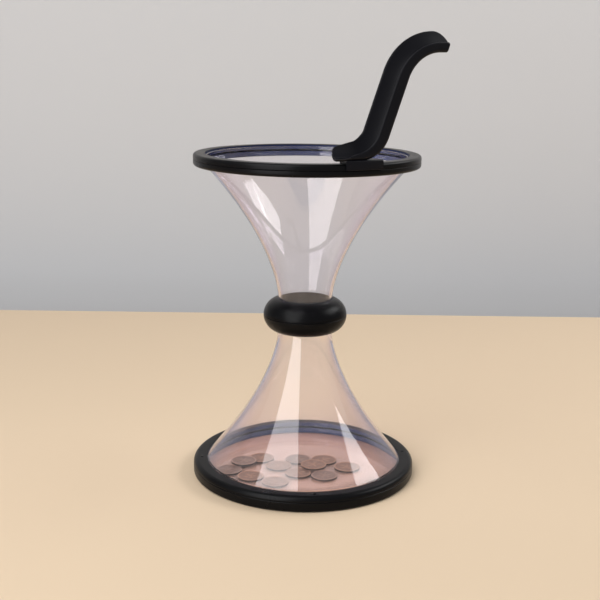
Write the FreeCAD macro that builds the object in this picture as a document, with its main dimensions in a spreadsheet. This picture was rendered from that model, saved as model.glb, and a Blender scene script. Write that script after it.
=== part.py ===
import FreeCAD, Part
import math
import os
import Sketcher

# Vortex coin bank. Two clear flared shells stand neck to neck inside a round waist collar.
# Each wide end is held by a black ring, split in two halves that clamp the shell's flange
# and are pinned together. A clear disc closes the bottom, and coins lie on it. A banked
# chute in the shape of an S clips over the upper ring and starts each coin on its way.
# The frame's origin is the centre of the underside, +Z is up and the front faces -Y.

doc = FreeCAD.newDocument("VortexCoinBank")
sheet = doc.addObject("Spreadsheet::Sheet", "Sizes")
sheet_rows = []
sub_parts = []

# Driving dimensions, in millimetres and degrees.
LIP_RADIUS = 79.0
NECK_RADIUS = 21.5
SHELL_WALL = 1.8
SHELL_REACH = 119.0
NECK_LENGTH = 12.0
FLARE_START = 2.0
FLARE_KNEE = 55.0
NECK_FLANGE_WIDTH = 4.0
NECK_FLANGE_DEPTH = 1.6
LIP_LENGTH = 8.0
RIM_FLANGE_WIDTH = 6.0
RIM_FLANGE_SET = 4.0
RIM_FLANGE_DEPTH = 1.5
FIT = 0.1
RIM_RING_BAND = 3.3
RIM_RING_DEPTH = 9.5
RIM_RING_ROUND = 2.2
BASE_RING_BAND = 5.0
BASE_RING_DEPTH = 12.5
BASE_RING_ROUND = 4.2
BASE_RING_FOOT = 2.4
SEAM = 0.4
PIN_RADIUS = 0.8
PIN_HEAD = 1.3
PIN_DOME = 0.35
PIN_SINK = 0.5
PIN_BITE = 2.2
PIN_TURN = 6.0
FLOOR_THICKNESS = 2.0
FLOOR_OVERLAP = 5.0
COLLAR_ROOM = 7.8
COLLAR_SECTION = 13.6
COLLAR_WALL = 2.2
COLLAR_LAP = 2.2
COLLAR_TONGUE = 1.1
COIN_RADIUS = 10.5
COIN_THICKNESS = 1.7
COIN_RIM = 1.1
COIN_RELIEF = 0.18
COIN_WALL_GAP = 5.0
COIN_BEARING = 13.2
RAMP_TURN = 26.0
RAMP_SET = 3.5
CLIP_PLATE = 2.5
CLIP_WALL = 1.7
CLIP_DROP = 4.5
CLIP_HOOK = 6.0
CLIP_BEHIND = 8.4
CLIP_AHEAD = 10.8
FOOT_BACK = 20.6
FOOT_RUN = 19.7
BEND_SPARE = 9.0
RAMP_SLOPE = 70.0
RAMP_CLIMB = 43.7
TOP_BEND = 27.5
TOP_SLOPE = 1.0
TOP_RUN = 12.0
CHUTE_WALL = 2.0
CHUTE_SINK = 0.5
LOW_RAIL = 7.2
TALL_RAIL = 15.0
CHUTE_REACH_OUT = 6.5
CHUTE_LEAN = 7.3
FOOT_RAIL = 9.9
END_SKEW = 25.0

COIN_PLACES = {
    # Centre of each coin in coin radii from the first coin, right and away, and its layer.
    "coin_01": (0.00, 0.00, 0),
    "coin_02": (1.72, -1.24, 0),
    "coin_03": (2.38, 2.57, 0),
    "coin_04": (1.05, 1.54, 1),
    "coin_05": (3.82, 0.96, 0),
    "coin_06": (3.62, -2.29, 0),
    "coin_07": (5.33, 2.40, 0),
    "coin_08": (7.38, 2.29, 0),
    "coin_09": (5.34, -0.48, 0),
    "coin_10": (7.34, -0.94, 0),
    "coin_11": (9.15, 0.84, 0),
    "coin_12": (6.54, 0.83, 1),
}


class Size:
    """A number with the formula that gives it in the document's sheet."""

    def __init__(self, value, formula=None):
        self.value = float(value)
        self.formula = formula or f"{self.value:.9f}"

    def joined(self, sign, other, value):
        return Size(value, f"({self.formula} {sign} {other.formula})")

    def __add__(self, other):
        other = as_size(other)
        return self.joined("+", other, self.value + other.value)

    def __sub__(self, other):
        other = as_size(other)
        return self.joined("-", other, self.value - other.value)

    def __mul__(self, other):
        other = as_size(other)
        return self.joined("*", other, self.value * other.value)

    def __truediv__(self, other):
        other = as_size(other)
        return self.joined("/", other, self.value / other.value)

    def __radd__(self, other):
        return as_size(other) + self

    def __rsub__(self, other):
        return as_size(other) - self

    def __rmul__(self, other):
        return as_size(other) * self

    def __neg__(self):
        return as_size(-1) * self


def as_size(number):
    return number if isinstance(number, Size) else Size(number)


def root(size):
    return Size(math.sqrt(size.value), f"sqrt({size.formula})")


def sine(degrees):
    return Size(math.sin(math.radians(degrees.value)), f"sin({degrees.formula} * 1deg)")


def cosine(degrees):
    return Size(math.cos(math.radians(degrees.value)), f"cos({degrees.formula} * 1deg)")


def driving(alias, value, meaning):
    """Enter one driving dimension in the sheet and return it as a Size."""
    sheet_rows.append(alias)
    row = len(sheet_rows)
    sheet.set(f"A{row}", meaning)
    sheet.set(f"B{row}", str(value))
    sheet.setAlias(f"B{row}", alias)
    return Size(value, f"Sizes.{alias}")


# The same dimensions as Sizes, each with a row in the sheet.
lip_radius = driving("lip_radius", LIP_RADIUS, "outside of the clear shell's lip")
neck_radius = driving("neck_radius", NECK_RADIUS, "outside of the clear shell's neck")
shell_wall = driving("shell_wall", SHELL_WALL, "wall of a clear shell")
shell_reach = driving("shell_reach", SHELL_REACH, "from the waist plane to a ring's near face")
neck_length = driving("neck_length", NECK_LENGTH, "straight neck, from the waist plane")
flare_start = driving("flare_start", FLARE_START, "how long the flare stays upright above the neck")
flare_knee = driving("flare_knee", FLARE_KNEE, "height where the flare's end tangent meets the neck")
neck_flange_width = driving("neck_flange_width", NECK_FLANGE_WIDTH, "flange round the neck's end")
neck_flange_depth = driving("neck_flange_depth", NECK_FLANGE_DEPTH, "thickness of the neck's flange")
lip_length = driving("lip_length", LIP_LENGTH, "lip, from the ring's near face")
rim_flange_width = driving("rim_flange_width", RIM_FLANGE_WIDTH, "flange round the lip")
rim_flange_set = driving("rim_flange_set", RIM_FLANGE_SET, "from the ring's near face to the flange")
rim_flange_depth = driving("rim_flange_depth", RIM_FLANGE_DEPTH, "thickness of the lip's flange")
fit = driving("fit", FIT, "clearance between pieces that slide together")

rim_ring_band = driving("rim_ring_band", RIM_RING_BAND, "upper ring outside the shell's flange")
rim_ring_depth = driving("rim_ring_depth", RIM_RING_DEPTH, "height of the upper ring")
rim_ring_round = driving("rim_ring_round", RIM_RING_ROUND, "rounding of the upper ring")
base_ring_band = driving("base_ring_band", BASE_RING_BAND, "base ring outside the shell's flange")
base_ring_depth = driving("base_ring_depth", BASE_RING_DEPTH, "height of the base ring")
base_ring_round = driving("base_ring_round", BASE_RING_ROUND, "rounding of the base ring's upper edge")
base_ring_foot = driving("base_ring_foot", BASE_RING_FOOT, "rounding of the base ring's lower edge")
seam = driving("seam", SEAM, "groove where two halves meet")
pin_radius = driving("pin_radius", PIN_RADIUS, "shank of a ring pin")
pin_head = driving("pin_head", PIN_HEAD, "head radius of a ring pin")
pin_dome = driving("pin_dome", PIN_DOME, "height of a pin's head above the ring")
pin_sink = driving("pin_sink", PIN_SINK, "depth of the seat for a pin's head")
pin_bite = driving("pin_bite", PIN_BITE, "how far a pin enters the far half")
pin_turn = driving("pin_turn", PIN_TURN, "first pin, from the front towards the right")

floor_thickness = driving("floor_thickness", FLOOR_THICKNESS, "clear disc in the base")
floor_overlap = driving("floor_overlap", FLOOR_OVERLAP, "how far the disc reaches under the base ring")

collar_room = driving("collar_room", COLLAR_ROOM, "from the neck's flange out to the collar's face")
collar_section = driving("collar_section", COLLAR_SECTION, "radius of the collar's round section")
collar_wall = driving("collar_wall", COLLAR_WALL, "wall of the collar halves")
collar_lap = driving("collar_lap", COLLAR_LAP, "how far the upper half's tongue enters the lower")
collar_tongue = driving("collar_tongue", COLLAR_TONGUE, "thickness of that tongue")

coin_radius = driving("coin_radius", COIN_RADIUS, "radius of a coin")
coin_thickness = driving("coin_thickness", COIN_THICKNESS, "thickness of a coin")
coin_rim = driving("coin_rim", COIN_RIM, "width of a coin's raised edge")
coin_relief = driving("coin_relief", COIN_RELIEF, "height of a coin's raised edge")
coin_wall_gap = driving("coin_wall_gap", COIN_WALL_GAP, "from the first coin to the bell's lip")
coin_bearing = driving("coin_bearing", COIN_BEARING, "first coin, from the left towards the front")

ramp_turn = driving("ramp_turn", RAMP_TURN, "chute's foot, from the front towards the right")
ramp_set = driving("ramp_set", RAMP_SET, "from the lip out to the chute's centre line")
clip_plate = driving("clip_plate", CLIP_PLATE, "plate of the chute's clip on the ring")
clip_wall = driving("clip_wall", CLIP_WALL, "skirts of the clip")
clip_drop = driving("clip_drop", CLIP_DROP, "depth of the clip's outer skirt")
clip_hook = driving("clip_hook", CLIP_HOOK, "depth of the clip's inner skirt")
clip_behind = driving("clip_behind", CLIP_BEHIND, "clip on the ring, from the foot's centre to its open end")
clip_ahead = driving("clip_ahead", CLIP_AHEAD, "clip on the ring, from the foot's centre to the climb")
foot_back = driving("foot_back", FOOT_BACK, "chute's open end, from the foot's centre")
foot_run = driving("foot_run", FOOT_RUN, "level stretch of the chute")
bend_spare = driving("bend_spare", BEND_SPARE, "lower bend's radius beyond the tall wall")
ramp_slope = driving("ramp_slope", RAMP_SLOPE, "slope of the chute's straight stretch")
ramp_climb = driving("ramp_climb", RAMP_CLIMB, "length of that straight stretch")
top_bend = driving("top_bend", TOP_BEND, "radius of the upper bend, at the chute's underside")
top_slope = driving("top_slope", TOP_SLOPE, "slope of the chute's upper end")
top_run = driving("top_run", TOP_RUN, "straight stretch at the upper end")
chute_wall = driving("chute_wall", CHUTE_WALL, "wall of the chute")
chute_sink = driving("chute_sink", CHUTE_SINK, "how deep the chute is let into the clip's plate")
low_rail = driving("low_rail", LOW_RAIL, "height of the outer rail")
tall_rail = driving("tall_rail", TALL_RAIL, "height of the banked inner wall")
chute_reach_out = driving("chute_reach_out", CHUTE_REACH_OUT, "from the centre line to the outer rail's face")
chute_lean = driving("chute_lean", CHUTE_LEAN, "from the centre line to the inner wall's top")
foot_rail = driving("foot_rail", FOOT_RAIL, "height of the inner wall at the open end")
end_skew = driving("end_skew", END_SKEW, "slant of the chute's upper end, seen from above")
doc.recompute()

# Places that several pieces share.
waist_height = base_ring_depth + shell_reach
rim_top_height = waist_height + shell_reach + rim_ring_depth
flange_near = shell_reach + rim_flange_set
flange_far = flange_near + rim_flange_depth
ring_split = flange_near + rim_flange_depth / 2
flange_radius = lip_radius + rim_flange_width
rim_ring_radius = flange_radius + rim_ring_band
base_ring_radius = flange_radius + base_ring_band
ramp_track = lip_radius + ramp_set
ring_bore = lip_radius + fit
pin_circle = lip_radius + rim_flange_width * 0.7
neck_flange_radius = neck_radius + neck_flange_width
collar_radius = neck_flange_radius + collar_room
floor_radius = ring_bore + floor_overlap
first_pin = pin_turn - 90
seat = clip_plate - chute_sink


def new_body(name):
    """Start a sub-part made of sketches and features."""
    body = doc.addObject("PartDesign::Body", name)
    body.Label = name
    sub_parts.append(body)
    return body


def new_sketch(body, name, role="XZ_Plane", offset=None):
    """Start a sketch on one of the body's own planes, or at an offset along its normal."""
    sketch = body.newObject("Sketcher::SketchObject", name)
    plane = [item for item in body.Origin.OriginFeatures if item.Role == role][0]
    sketch.AttachmentSupport = (plane, [""])
    sketch.MapMode = "FlatFace"
    if offset is not None:
        offset = as_size(offset)
        sketch.AttachmentOffset = FreeCAD.Placement(
            FreeCAD.Vector(0, 0, offset.value), FreeCAD.Rotation())
        sketch.setExpression("AttachmentOffset.Base.z", offset.formula)
    return sketch


def corner(across, up):
    return ("corner", as_size(across), as_size(up))


def via(across, up):
    return ("via", as_size(across), as_size(up))


def pole(across, up):
    return ("pole", as_size(across), as_size(up))


def rounded(across, up, came, leaves, radius):
    """Round a square corner: came and leaves are the unit steps into and out of it."""
    across = as_size(across)
    up = as_size(up)
    inset = 1 - math.sqrt(0.5)
    return [
        corner(across - radius * came[0], up - radius * came[1]),
        via(across + radius * (inset * (leaves[0] - came[0])),
            up + radius * (inset * (leaves[1] - came[1]))),
        corner(across + radius * leaves[0], up + radius * leaves[1]),
    ]


def vector(step):
    return FreeCAD.Vector(step[1].value, step[2].value, 0)


def pin_down(sketch, geometry, point, step):
    """Hold one point of a sketch at its place, by the formulas of its two sizes."""
    for kind, size, axis in (("DistanceX", step[1], -2), ("DistanceY", step[2], -1)):
        if size.value == 0:
            sketch.addConstraint(Sketcher.Constraint("PointOnObject", geometry, point, axis))
        else:
            rule = Sketcher.Constraint(kind, -1, 1, geometry, point, size.value)
            number = sketch.addConstraint(rule)
            sketch.setExpression(f"Constraints[{number}]", size.formula)


def draw_line(sketch, first, last):
    line = sketch.addGeometry(Part.LineSegment(vector(first), vector(last)), False)
    return (line, 1, 2)


def draw_arc(sketch, first, middle, last):
    """Draw the arc through three places and hold it by its middle one."""
    circle = Part.Arc(vector(first), vector(middle), vector(last)).toShape().Curve
    centre = circle.Center
    angles = [math.atan2(vector(step).y - centre.y, vector(step).x - centre.x)
              for step in (first, middle, last)]
    full = 2 * math.pi
    forward = (angles[1] - angles[0]) % full < (angles[2] - angles[0]) % full
    start, end = (angles[0], angles[2]) if forward else (angles[2], angles[0])
    upright = Part.Circle(centre, FreeCAD.Vector(0, 0, 1), circle.Radius)
    arc = sketch.addGeometry(Part.ArcOfCircle(upright, start, end), False)
    marker = sketch.addGeometry(Part.Point(vector(middle)), True)
    pin_down(sketch, marker, 1, middle)
    sketch.addConstraint(Sketcher.Constraint("PointOnObject", marker, 1, arc))
    return (arc, 1, 2) if forward else (arc, 2, 1)


def draw_curve(sketch, first, poles, last):
    """Draw a smooth curve with one span, held by its poles."""
    steps = [first] + poles + [last]
    curve = Part.BSplineCurve()
    curve.buildFromPolesMultsKnots(
        [vector(step) for step in steps], [4, 4], [0.0, 1.0], False, 3)
    drawn = sketch.addGeometry(curve, False)
    sketch.exposeInternalGeometry(drawn)
    for number, step in enumerate(poles, start=2):
        pin_down(sketch, drawn + number, 3, step)
    return (drawn, 1, 2)


def outline(sketch, steps, closed=True):
    """Draw corners joined by lines, by arcs through a via or by curves with two poles."""
    marks = [number for number, step in enumerate(steps) if step[0] == "corner"]
    ends = marks[1:] + ([marks[0] + len(steps)] if closed else [])
    pieces = []
    for here, there in zip(marks, ends):
        first = steps[here]
        last = steps[there % len(steps)]
        between = [steps[number % len(steps)] for number in range(here + 1, there)]
        if not between:
            piece = draw_line(sketch, first, last)
        elif between[0][0] == "via":
            piece = draw_arc(sketch, first, between[0], last)
        else:
            piece = draw_curve(sketch, first, between, last)
        pin_down(sketch, piece[0], piece[1], first)
        pieces.append(piece)
    for piece, following in zip(pieces, pieces[1:] + (pieces[:1] if closed else [])):
        sketch.addConstraint(Sketcher.Constraint(
            "Coincident", piece[0], piece[2], following[0], following[1]))
    if not closed:
        pin_down(sketch, pieces[-1][0], pieces[-1][2], steps[-1])


def turn(body, name, steps, kind="PartDesign::Revolution"):
    """Turn an outline round the body's upright axis."""
    sketch = new_sketch(body, name + "_outline")
    outline(sketch, steps)
    feature = body.newObject(kind, name)
    feature.Profile = sketch
    feature.ReferenceAxis = (sketch, ["V_Axis"])
    feature.Angle = 360.0
    sketch.Visibility = False
    return feature


def drill_pin_holes(body, name, radius, low, high):
    """Cut four like holes on the pin circle between two heights."""
    sketch = new_sketch(body, name + "_circle", "XY_Plane", (low + high) / 2)
    centre = FreeCAD.Vector(pin_circle.value, 0, 0)
    circle = Part.Circle(centre, FreeCAD.Vector(0, 0, 1), radius.value)
    drawn = sketch.addGeometry(circle, False)
    pin_down(sketch, drawn, 3, corner(pin_circle, 0))
    number = sketch.addConstraint(Sketcher.Constraint("Radius", drawn, radius.value))
    sketch.setExpression(f"Constraints[{number}]", radius.formula)
    hole = body.newObject("PartDesign::Pocket", name)
    hole.Profile = sketch
    hole.SideType = "Symmetric"
    hole.Length = (high - low).value
    hole.setExpression("Length", (high - low).formula)
    holes = body.newObject("PartDesign::PolarPattern", name + "_ring")
    holes.Originals = [hole]
    holes.Axis = (sketch, ["N_Axis"])
    holes.Angle = 360
    holes.Occurrences = 4
    body.Tip = holes
    sketch.Visibility = False


def stand(body, height, turned=None, upside_down=False):
    """Place a sub-part on the axis, turned about it, and if need be with its top down."""
    turned = as_size(0 if turned is None else turned)
    axis = FreeCAD.Vector(0, 0, 1)
    spin = FreeCAD.Rotation(axis, turned.value)
    if upside_down:
        spin = spin.multiply(FreeCAD.Rotation(FreeCAD.Vector(1, 0, 0), 180))
    body.Placement = FreeCAD.Placement(FreeCAD.Vector(0, 0, height.value), spin)
    body.setExpression("Placement.Base.z", height.formula)


def flared_shell(name, upside_down):
    """One clear moulding: neck flange, straight neck, flare and a lip with its flange.

    It is drawn from the waist plane outwards, and both shells come from this drawing.
    """
    body = new_body(name)
    inner_neck = neck_radius - shell_wall
    inner_lip = lip_radius - shell_wall
    flare_pole = neck_length + flare_start
    turn(body, name + "_wall", [
        corner(inner_neck, 0),
        corner(neck_flange_radius, 0),
        corner(neck_flange_radius, neck_flange_depth),
        corner(neck_radius, neck_flange_depth),
        corner(neck_radius, neck_length),
        pole(neck_radius, flare_pole),
        pole(neck_radius, flare_knee),
        corner(lip_radius, shell_reach),
        corner(lip_radius, flange_near),
        corner(flange_radius, flange_near),
        corner(flange_radius, flange_far),
        corner(lip_radius, flange_far),
        corner(lip_radius, shell_reach + lip_length),
        corner(inner_lip, shell_reach + lip_length),
        corner(inner_lip, shell_reach),
        pole(inner_neck, flare_knee),
        pole(inner_neck, flare_pole),
        corner(inner_neck, neck_length),
    ])
    drill_pin_holes(body, name + "_holes", pin_radius + fit,
                    flange_near - rim_flange_depth, flange_far + rim_flange_depth)
    stand(body, waist_height, first_pin, upside_down)


def near_half(name, radius, edge_round, upside_down):
    """Ring half on the shell's side, with the seats of the pin heads."""
    body = new_body(name)
    flange_seat = flange_radius + fit
    turn(body, name + "_ring", [
        corner(ring_bore, shell_reach),
        *rounded(radius, shell_reach, (1, 0), (0, 1), edge_round),
        corner(radius, ring_split - seam),
        corner(radius - seam, ring_split),
        corner(flange_seat, ring_split),
        corner(flange_seat, flange_near),
        corner(ring_bore, flange_near),
    ])
    drill_pin_holes(body, name + "_holes", pin_radius + fit,
                    shell_reach - pin_sink, ring_split + pin_sink)
    drill_pin_holes(body, name + "_seats", pin_head + fit,
                    shell_reach - pin_sink, shell_reach + pin_sink)
    stand(body, waist_height, first_pin, upside_down)


def far_half(name, radius, depth, edge_round, upside_down, rebate=None):
    """Ring half on the outer side, with blind holes for the pins and a rebate if asked."""
    body = new_body(name)
    flange_seat = flange_radius + fit
    end = shell_reach + depth
    steps = [
        corner(ring_bore, flange_far),
        corner(flange_seat, flange_far),
        corner(flange_seat, ring_split),
        corner(radius - seam, ring_split),
        corner(radius, ring_split + seam),
        *rounded(radius, end, (0, 1), (-1, 0), edge_round),
    ]
    if rebate is None:
        steps += rounded(ring_bore, end, (-1, 0), (0, -1), seam)
    else:
        steps += [
            corner(floor_radius + fit, end),
            corner(floor_radius + fit, end - rebate),
            corner(ring_bore, end - rebate),
        ]
    turn(body, name + "_ring", steps)
    drill_pin_holes(body, name + "_holes", pin_radius + fit,
                    ring_split - pin_bite, ring_split + pin_bite)
    stand(body, waist_height, first_pin, upside_down)


def ring_pins(name, upside_down):
    """Four domed pins, as separate solids in one sub-part."""
    body = new_body(name)
    body.AllowCompound = True
    head_face = shell_reach - pin_dome
    head_seat = shell_reach + pin_sink
    pin_end = ring_split + pin_bite
    parts = []
    for label, radius, low, high in (
            ("head", pin_head, head_face, head_seat),
            ("shank", pin_radius, head_seat, pin_end)):
        sketch = new_sketch(body, f"{name}_{label}_circle", "XY_Plane", low)
        centre = FreeCAD.Vector(pin_circle.value, 0, 0)
        circle = Part.Circle(centre, FreeCAD.Vector(0, 0, 1), radius.value)
        drawn = sketch.addGeometry(circle, False)
        pin_down(sketch, drawn, 3, corner(pin_circle, 0))
        number = sketch.addConstraint(Sketcher.Constraint("Radius", drawn, radius.value))
        sketch.setExpression(f"Constraints[{number}]", radius.formula)
        pad = body.newObject("PartDesign::Pad", f"{name}_{label}")
        pad.Profile = sketch
        pad.Length = (high - low).value
        pad.setExpression("Length", (high - low).formula)
        sketch.Visibility = False
        parts.append(pad)
    doc.recompute()
    head_edge = [f"Edge{number}" for number, edge in enumerate(parts[-1].Shape.Edges, start=1)
                 if abs(edge.CenterOfMass.z - head_face.value) < 1e-6][0]
    dome = body.newObject("PartDesign::Fillet", name + "_dome")
    dome.Base = (parts[-1], [head_edge])
    dome.Radius = pin_dome.value * 0.9
    dome.setExpression("Radius", (pin_dome * 0.9).formula)
    doc.recompute()
    row = body.newObject("PartDesign::PolarPattern", name + "_row")
    row.TransformMode = "Whole shape"
    row.Axis = (body.Origin.OriginFeatures[2], [""])
    row.Angle = 360
    row.Occurrences = 4
    body.Tip = row
    stand(body, waist_height, first_pin, upside_down)


def collar_half(name, upside_down):
    """Hollow half of the round collar: the upper has the tongue, the lower its groove."""
    body = new_body(name)
    centre = collar_radius - collar_section
    inner = collar_section - collar_wall
    diagonal = math.sqrt(0.5)
    bore = neck_radius + fit
    web = bore + collar_wall
    flange_seat = neck_flange_radius + fit
    shelf = neck_flange_depth + collar_wall
    shelf_edge = flange_seat + collar_wall * 0.8
    tongue_face = collar_radius - collar_wall - fit
    tongue_back = tongue_face - collar_tongue

    def height_at(section, across):
        return root(section * section - (across - centre) * (across - centre))

    if upside_down:
        socket = collar_lap + fit
        lap = [
            corner(tongue_face + fit, 0),
            corner(tongue_face + fit, socket),
            corner(centre + root(inner * inner - socket * socket), socket),
        ]
    else:
        lap = [
            corner(tongue_face, 0),
            corner(tongue_face, -collar_lap),
            corner(tongue_back, -collar_lap),
            corner(tongue_back, height_at(inner, tongue_back)),
        ]
    turn(body, name + "_wall", [
        corner(bore, neck_flange_depth),
        corner(bore, height_at(collar_section, bore)),
        via(centre + collar_section * diagonal, collar_section * diagonal),
        corner(centre + root(collar_section * collar_section - seam * seam), seam),
        corner(collar_radius - seam, 0),
        *lap,
        via(centre + inner * diagonal, inner * diagonal),
        corner(web, height_at(inner, web)),
        corner(web, shelf),
        corner(shelf_edge, shelf),
        corner(shelf_edge, 0),
        corner(flange_seat, 0),
        corner(flange_seat, neck_flange_depth),
    ])
    stand(body, waist_height, None, upside_down)


def floor_disc():
    """Clear disc let into the underside of the base ring."""
    disc = doc.addObject("Part::Cylinder", "floor_disc")
    disc.Label = "floor_disc"
    disc.Radius = floor_radius.value
    disc.setExpression("Radius", floor_radius.formula)
    disc.Height = floor_thickness.value
    disc.setExpression("Height", floor_thickness.formula)
    sub_parts.append(disc)


def coin(name, across, away, layer):
    """Coin with a raised edge on both faces, lying flat on the disc or on other coins."""
    body = new_body(name)
    field = coin_radius - coin_rim
    turn(body, name + "_blank", [
        corner(0, coin_relief),
        corner(field, coin_relief),
        corner(field, 0),
        corner(coin_radius, 0),
        corner(coin_radius, coin_thickness),
        corner(field, coin_thickness),
        corner(field, coin_thickness - coin_relief),
        corner(0, coin_thickness - coin_relief),
    ])
    first = lip_radius - shell_wall - coin_radius - coin_wall_gap
    place = {
        "x": coin_radius * across - first * cosine(coin_bearing),
        "y": coin_radius * away - first * sine(coin_bearing),
        "z": floor_thickness + coin_thickness * layer,
    }
    body.Placement = FreeCAD.Placement(
        FreeCAD.Vector(*[size.value for size in place.values()]), FreeCAD.Rotation())
    for letter, size in place.items():
        body.setExpression(f"Placement.Base.{letter}", size.formula)


def coin_ramp():
    """Banked chute in the shape of an S, in one piece with the clip that holds it.

    The chute's section is carried along a path of lines and tangent arcs in one upright
    plane, and side cuts then round its walls off at both ends. The body's X axis runs
    along the ring, from the open foot towards the top, and -Y points outwards.
    """
    body = new_body("coin_ramp")
    clip(body)

    along = foot_run - foot_back
    bend = tall_rail + bend_spare
    half = ramp_slope / 2
    middle = (ramp_slope + top_slope) / 2
    foot = (-foot_back, seat)
    bend_end = (along + bend * sine(ramp_slope), seat + bend * (1 - cosine(ramp_slope)))
    climb_end = (bend_end[0] + ramp_climb * cosine(ramp_slope),
                 bend_end[1] + ramp_climb * sine(ramp_slope))
    crest = (climb_end[0] + top_bend * (sine(ramp_slope) - sine(top_slope)),
             climb_end[1] + top_bend * (cosine(top_slope) - cosine(ramp_slope)))
    tip = (crest[0] + top_run * cosine(top_slope), crest[1] + top_run * sine(top_slope))

    path = new_sketch(body, "chute_path", "XZ_Plane", ramp_track)
    outline(path, [
        corner(*foot),
        corner(along, seat),
        via(along + bend * sine(half), seat + bend * (1 - cosine(half))),
        corner(*bend_end),
        corner(*climb_end),
        via(climb_end[0] + top_bend * (sine(ramp_slope) - sine(middle)),
            climb_end[1] + top_bend * (cosine(middle) - cosine(ramp_slope))),
        corner(*crest),
        corner(*tip),
    ], closed=False)

    section = new_sketch(body, "chute_section", "YZ_Plane", -foot_back)
    outline(section, chute_section())
    doc.recompute()
    chute = body.newObject("PartDesign::AdditivePipe", "chute")
    chute.Profile = section
    chute.Spine = (path, [f"Edge{number}" for number in range(1, 6)])
    chute.Mode = "Standard"
    path.Visibility = False
    section.Visibility = False

    side_cut(body, "foot_corner", ramp_track, "Symmetric", tall_rail * 4, [
        corner(foot[0] - tall_rail, seat + chute_wall),
        corner(foot[0], seat + chute_wall),
        via(foot[0] + foot_rail * 0.14, seat + foot_rail * 0.74),
        corner(foot[0] + foot_rail * 0.48, seat + foot_rail),
        corner(along - foot_rail * 0.4, seat + foot_rail * 1.17),
        via(along + foot_rail * 0.15, seat + foot_rail * 1.34),
        corner(along + foot_rail * 0.55, seat + foot_rail * 1.74),
        corner(along + foot_rail * 0.5, seat + tall_rail * 2),
        corner(foot[0] - tall_rail, seat + tall_rail * 2),
    ])
    wall_end = (crest[0] - tall_rail * sine(top_slope),
                crest[1] + tall_rail * cosine(top_slope))
    side_cut(body, "top_corner", ramp_track, "Symmetric", tall_rail * 4, [
        corner(wall_end[0] - chute_wall, wall_end[1] + chute_wall / 10),
        via(wall_end[0] + top_run * 0.5, wall_end[1] - tall_rail * 0.15),
        corner(tip[0] - chute_wall * 0.5, tip[1] + low_rail),
        corner(tip[0] + tall_rail, tip[1] + low_rail),
        corner(tip[0] + tall_rail, wall_end[1] + tall_rail),
        corner(wall_end[0] - chute_wall, wall_end[1] + tall_rail),
    ])
    wall_foot = chute_lean * 0.6
    slant = sine(end_skew) / cosine(end_skew)
    rail_side = chute_reach_out + chute_wall
    wall_side = chute_lean * 2
    side_cut(body, "end_corner", tip[1], "Symmetric", tall_rail * 4, [
        corner(tip[0] - (rail_side + wall_foot) * slant, -(ramp_track + rail_side)),
        corner(tip[0] + tall_rail * 2, -(ramp_track + rail_side)),
        corner(tip[0] + tall_rail * 2, -(ramp_track - wall_side)),
        corner(tip[0] + (wall_side - wall_foot) * slant, -(ramp_track - wall_side)),
    ], "XY_Plane")
    rail_inside = ramp_track + chute_reach_out - chute_wall * 1.5
    side_cut(body, "rail_taper", rail_inside, "One side", chute_wall * 3, [
        corner(foot[0] - chute_wall, seat + chute_wall),
        via((foot[0] + along) / 2 - chute_wall, seat + chute_wall + low_rail * 0.16),
        corner(along + chute_wall, seat + low_rail + chute_wall / 10),
        corner(along, seat + low_rail * 2),
        corner(foot[0] - chute_wall, seat + low_rail * 2),
    ])
    stand(body, rim_top_height, ramp_turn)


def clip(body):
    """Sector of a saddle that hooks over the upper ring, inside and out."""
    hook_face = lip_radius - shell_wall - fit
    skirt_face = rim_ring_radius + fit
    steps = [
        corner(hook_face - clip_wall, -clip_hook),
        corner(hook_face, -clip_hook),
        corner(hook_face, 0),
        corner(skirt_face, 0),
        corner(skirt_face, -clip_drop),
        corner(skirt_face + clip_wall, -clip_drop),
        *rounded(skirt_face + clip_wall, clip_plate, (0, 1), (-1, 0), clip_wall * 0.5),
        corner(hook_face - clip_wall, clip_plate),
    ]
    sketch = new_sketch(body, "clip_section", "YZ_Plane")
    outline(sketch, [(kind, -across, up) for kind, across, up in steps])
    saddle = body.newObject("PartDesign::Revolution", "clip")
    saddle.Profile = sketch
    saddle.ReferenceAxis = (sketch, ["V_Axis"])
    saddle.Type = "TwoAngles"
    saddle.Angle = clip_ahead.value
    saddle.setExpression("Angle", clip_ahead.formula)
    saddle.Angle2 = clip_behind.value
    saddle.setExpression("Angle2", clip_behind.formula)
    sketch.Visibility = False
    doc.recompute()


def chute_section():
    """The chute's section at its foot: low outer rail, floor and banked inner wall."""
    ramp_face = ramp_track + chute_reach_out
    inner_top = ramp_track - chute_lean
    corner_round = chute_wall * 0.8
    inside = [
        corner(-(ramp_face - chute_wall), seat + chute_wall + corner_round),
        via(-(ramp_face - chute_wall - corner_round * 0.29),
            seat + chute_wall + corner_round * 0.29),
        corner(-(ramp_face - chute_wall - corner_round), seat + chute_wall),
        corner(-(ramp_track + chute_wall * 0.3), seat + chute_wall),
        via(-(ramp_track - chute_lean * 0.6), seat + chute_wall + (tall_rail - chute_wall) * 0.36),
        corner(-inner_top, seat + tall_rail),
    ]
    outside = [
        corner(-(inner_top - chute_wall), seat + tall_rail),
        via(-(ramp_track - chute_lean * 0.6 - chute_wall * 0.95),
            seat + chute_wall + (tall_rail - chute_wall) * 0.29),
        corner(-(ramp_track - chute_wall * 0.3), seat),
        corner(-(ramp_face - corner_round), seat),
        via(-(ramp_face - corner_round * 0.29), seat + corner_round * 0.29),
        corner(-ramp_face, seat + corner_round),
    ]
    return [corner(-ramp_face, seat + low_rail),
            corner(-(ramp_face - chute_wall), seat + low_rail)] + inside + outside


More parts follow.
